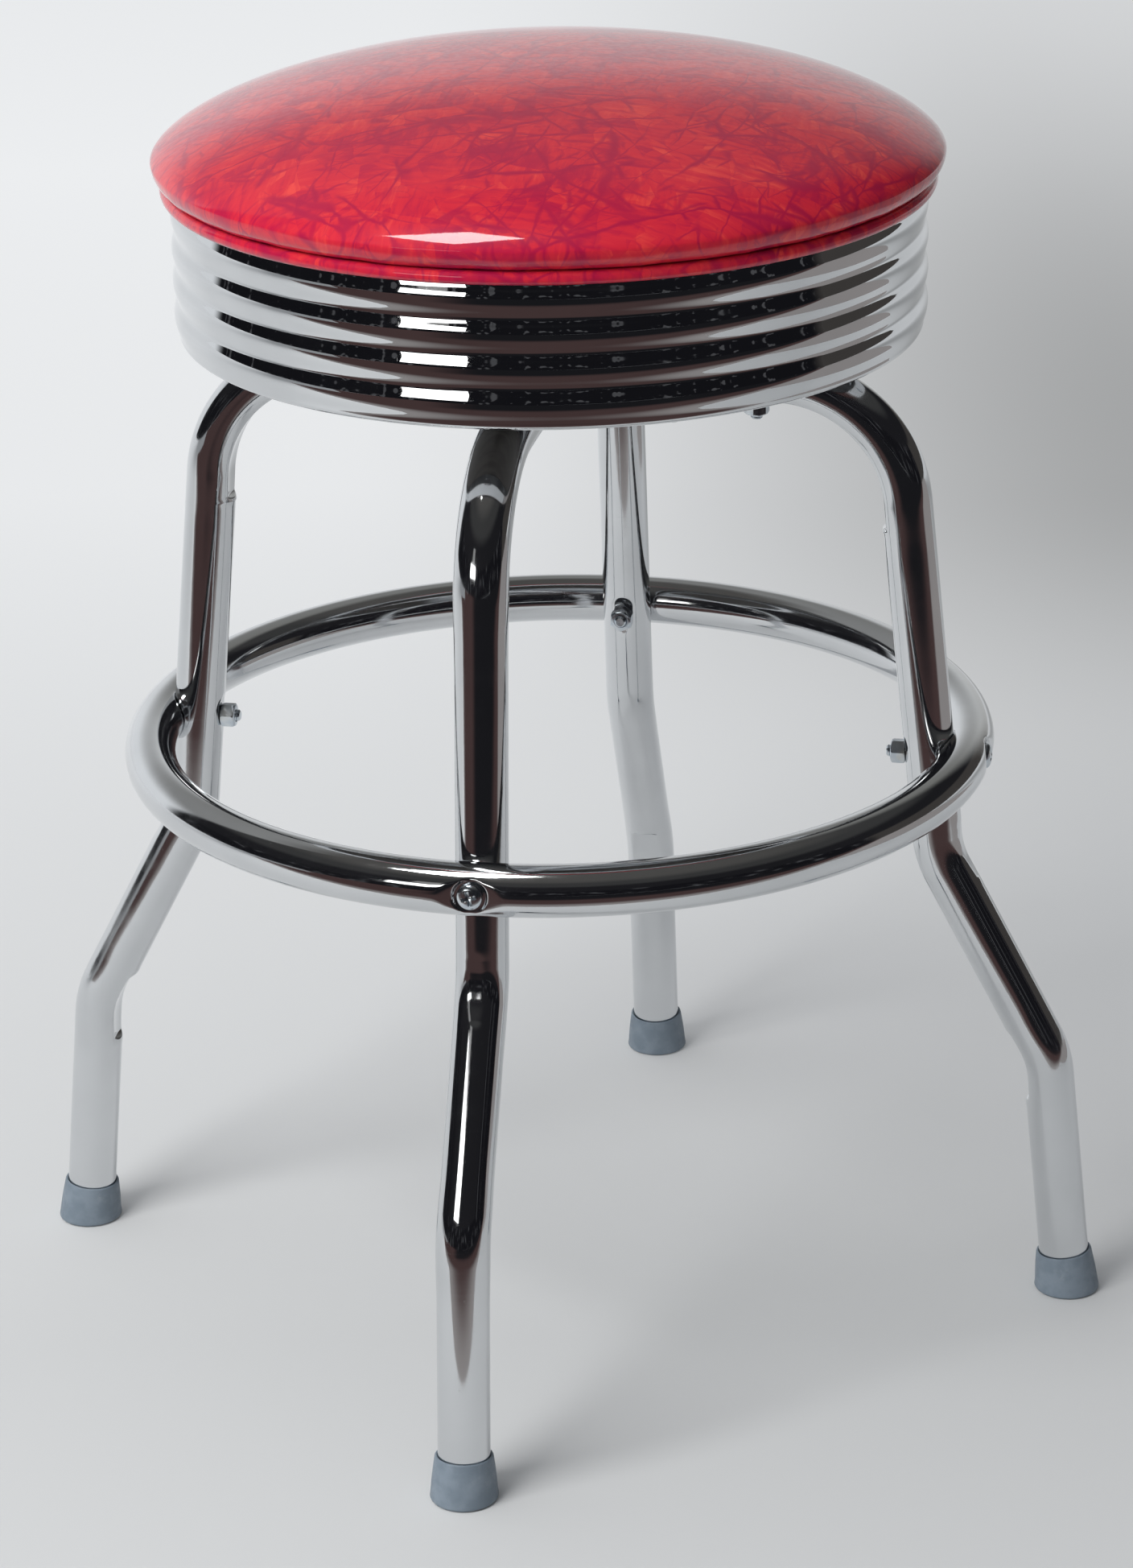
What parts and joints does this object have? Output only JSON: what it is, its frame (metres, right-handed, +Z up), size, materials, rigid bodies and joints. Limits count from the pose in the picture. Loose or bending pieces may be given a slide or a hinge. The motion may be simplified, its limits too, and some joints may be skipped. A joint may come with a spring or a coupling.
{
  "type": "bar stool",
  "caption": "Round padded swivel stool in a ribbed chrome band, on a splayed bent-tube frame with a round foot ring and rubber-capped feet.",
  "frame": {"origin": "on the floor, under the centre of the seat", "axes": "+Z up along the swivel axis; the legs stand along +X, -X, +Y and -Y"},
  "size_m": [0.5568, 0.5568, 0.639],
  "materials": {
    "seat_vinyl": "glossy vinyl with a crackle pattern",
    "foam": "open cell foam",
    "plywood": "plywood stained black",
    "chrome_plate": "polished chrome plate",
    "zinc_fastener": "bright zinc",
    "plate_steel": "zinc plated sheet",
    "ball_steel": "polished balls",
    "cap_rubber": "grey rubber"
  },
  "bodies": {
    "base": {"frame_left_right": "chrome_plate", "frame_front_back": "chrome_plate", "foot_ring": "chrome_plate", "ring_screws": "zinc_fastener", "ring_nuts": "zinc_fastener", "plate_bolts": "zinc_fastener", "plate_nuts": "zinc_fastener", "swivel_bottom_plate": "plate_steel", "centre_rivet": "zinc_fastener", "rivet_washer": "zinc_fastener", "foot_cap_right": "cap_rubber", "foot_cap_back": "cap_rubber", "foot_cap_left": "cap_rubber", "foot_cap_front": "cap_rubber"},
    "ball_set": {"bearing_balls": "ball_steel", "ball_cage": "plate_steel"},
    "seat": {"swivel_top_plate": "plate_steel", "top_plate_screws": "zinc_fastener", "seat_board": "plywood", "foam_pad": "foam", "seat_cover": "seat_vinyl", "cover_staples": "zinc_fastener", "seat_lip": "seat_vinyl", "chrome_band": "chrome_plate", "band_screws": "zinc_fastener"}
  },
  "joints": [
    {"name": "seat_swivel", "type": "hinge", "parent": "base", "child": "seat", "pos_m": [0, 0, 0.504], "axis": [0, 0, 1], "continuous": true},
    {"name": "ball_track", "type": "hinge", "parent": "base", "child": "ball_set", "pos_m": [0, 0, 0.504], "axis": [0, 0, 1], "continuous": true}
  ],
  "couplings": [
    {"joint": "ball_track", "follows": "seat_swivel", "ratio": 0.5}
  ]
}
